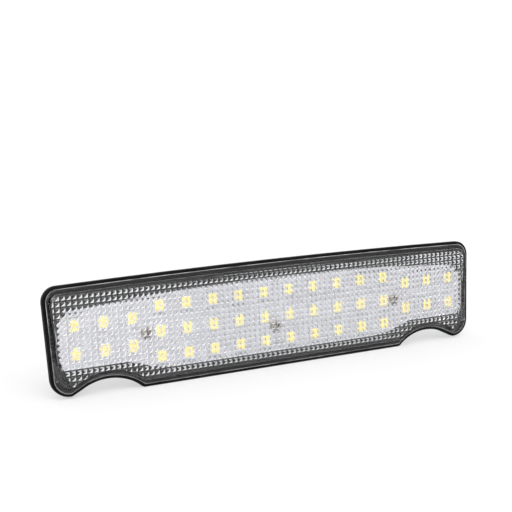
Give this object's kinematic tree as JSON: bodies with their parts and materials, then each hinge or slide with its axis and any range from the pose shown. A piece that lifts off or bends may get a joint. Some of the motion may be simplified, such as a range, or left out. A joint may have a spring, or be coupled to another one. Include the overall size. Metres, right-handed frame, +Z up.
{
  "type": "third brake light",
  "caption": "Long shallow LED vehicle lamp with a prismatic clear lens in a black housing, two arched notches below, a rear socket and mounting studs.",
  "frame": {"origin": "midway between the two mounting studs, in the plane where the body gasket seats on the vehicle", "axes": "+X along the lamp, +Y backwards into the vehicle along the studs (the lens faces -Y), +Z up"},
  "size_m": [0.1996, 0.0279, 0.0448],
  "materials": {
    "black_plastic": "satin moulded black plastic",
    "clear_plastic": "polished clear plastic",
    "clear_sealant": "translucent sealant",
    "black_rubber": "matt closed-cell rubber",
    "white_board": "white solder mask",
    "white_package": "matt white moulding",
    "yellow_phosphor": "soft yellow resin",
    "tin": "soldered tin",
    "zinc_steel": "zinc-plated steel",
    "brass": "tinned brass",
    "black_resin": "matt moulding resin",
    "tan_ceramic": "fired ceramic",
    "red_pvc": "smooth insulation",
    "black_pvc": "smooth insulation",
    "grey_plastic": "matt moulded plastic",
    "white_film": "porous film"
  },
  "bodies": {
    "root": {"housing": "black_plastic", "lens": "clear_plastic", "lens_seal": "clear_sealant", "body_gasket": "black_rubber", "circuit_board": "white_board", "led_bodies": "white_package", "led_phosphors": "yellow_phosphor", "led_solder": "tin", "board_screws": "zinc_steel", "string_resistors": "black_resin", "resistor_ends": "tin", "polarity_diode": "black_resin", "polarity_diode_tabs": "tin", "surge_suppressor": "black_resin", "surge_suppressor_tabs": "tin", "filter_capacitors": "tan_ceramic", "capacitor_ends": "tin", "positive_lead": "red_pvc", "negative_lead": "black_pvc", "lead_solder": "tin", "terminal_pins": "brass", "connector_shell": "grey_plastic", "connector_seal": "black_rubber", "mounting_studs": "zinc_steel", "stud_seals": "black_rubber", "vent_membrane": "white_film", "vent_cap": "grey_plastic"}
  },
  "joints": []
}
